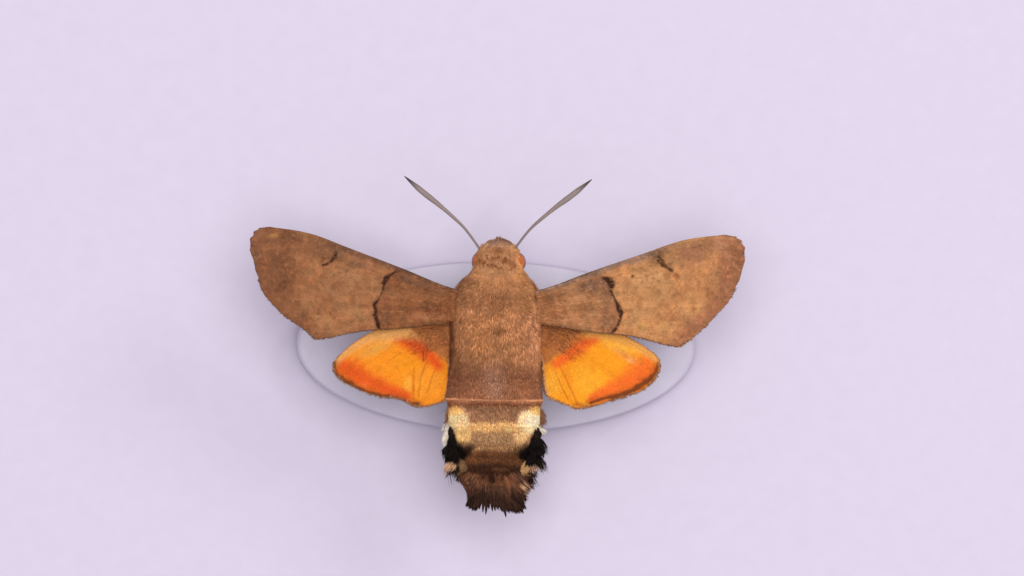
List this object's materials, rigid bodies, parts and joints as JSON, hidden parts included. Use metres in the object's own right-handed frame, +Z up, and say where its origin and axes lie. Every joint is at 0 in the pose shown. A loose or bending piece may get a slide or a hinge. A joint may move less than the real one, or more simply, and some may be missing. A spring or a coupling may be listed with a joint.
{
  "type": "hummingbird hawk moth model",
  "caption": "Life-size day-flying hawk moth with wings held out, brown forewings, orange hindwings and a tail fan, on an oval stand with a rod.",
  "frame": {"origin": "middle of the stand's underside, below the moth's body", "axes": "+Y towards the moth's head, +X to the moth's right, +Z up"},
  "size_m": [0.0432, 0.0295, 0.0181],
  "materials": {
    "coat": "soft short fur, warm grey-brown",
    "abdomen": "soft scales, dark brown with cream and black side tufts",
    "tail": "long flat hair-like scales, brown to near black",
    "forewing": "fine scales, brown with dark lines",
    "hindwing": "fine scales, orange with a rusty margin",
    "eye": "glossy faceted eye, brown",
    "antenna": "matt grey-brown club with a dark tip",
    "palp": "soft short fur, pale brown below",
    "tongue": "satin dark brown",
    "leg": "soft scales, brown",
    "base": "satin, pale grey-lilac",
    "rod": "brushed steel"
  },
  "bodies": {
    "root": {"head": "coat", "thorax": "coat", "abdomen_front": "abdomen", "abdomen_rear": "abdomen", "tail_fan": "tail", "proboscis_base": "tongue", "proboscis_coil": "tongue", "stand_base": "base", "stand_rod": "rod", "eye_left": "eye", "palp_left": "palp", "antenna_left": "antenna", "forewing_left": "forewing", "hindwing_left": "hindwing", "foreleg_left_femur": "leg", "foreleg_left_tibia": "leg", "foreleg_left_tarsus": "leg", "midleg_left_femur": "leg", "midleg_left_tibia": "leg", "midleg_left_tarsus": "leg", "hindleg_left_femur": "leg", "hindleg_left_tibia": "leg", "hindleg_left_tarsus": "leg", "eye_right": "eye", "palp_right": "palp", "antenna_right": "antenna", "forewing_right": "forewing", "hindwing_right": "hindwing", "foreleg_right_femur": "leg", "foreleg_right_tibia": "leg", "foreleg_right_tarsus": "leg", "midleg_right_femur": "leg", "midleg_right_tibia": "leg", "midleg_right_tarsus": "leg", "hindleg_right_femur": "leg", "hindleg_right_tibia": "leg", "hindleg_right_tarsus": "leg"}
  },
  "joints": []
}
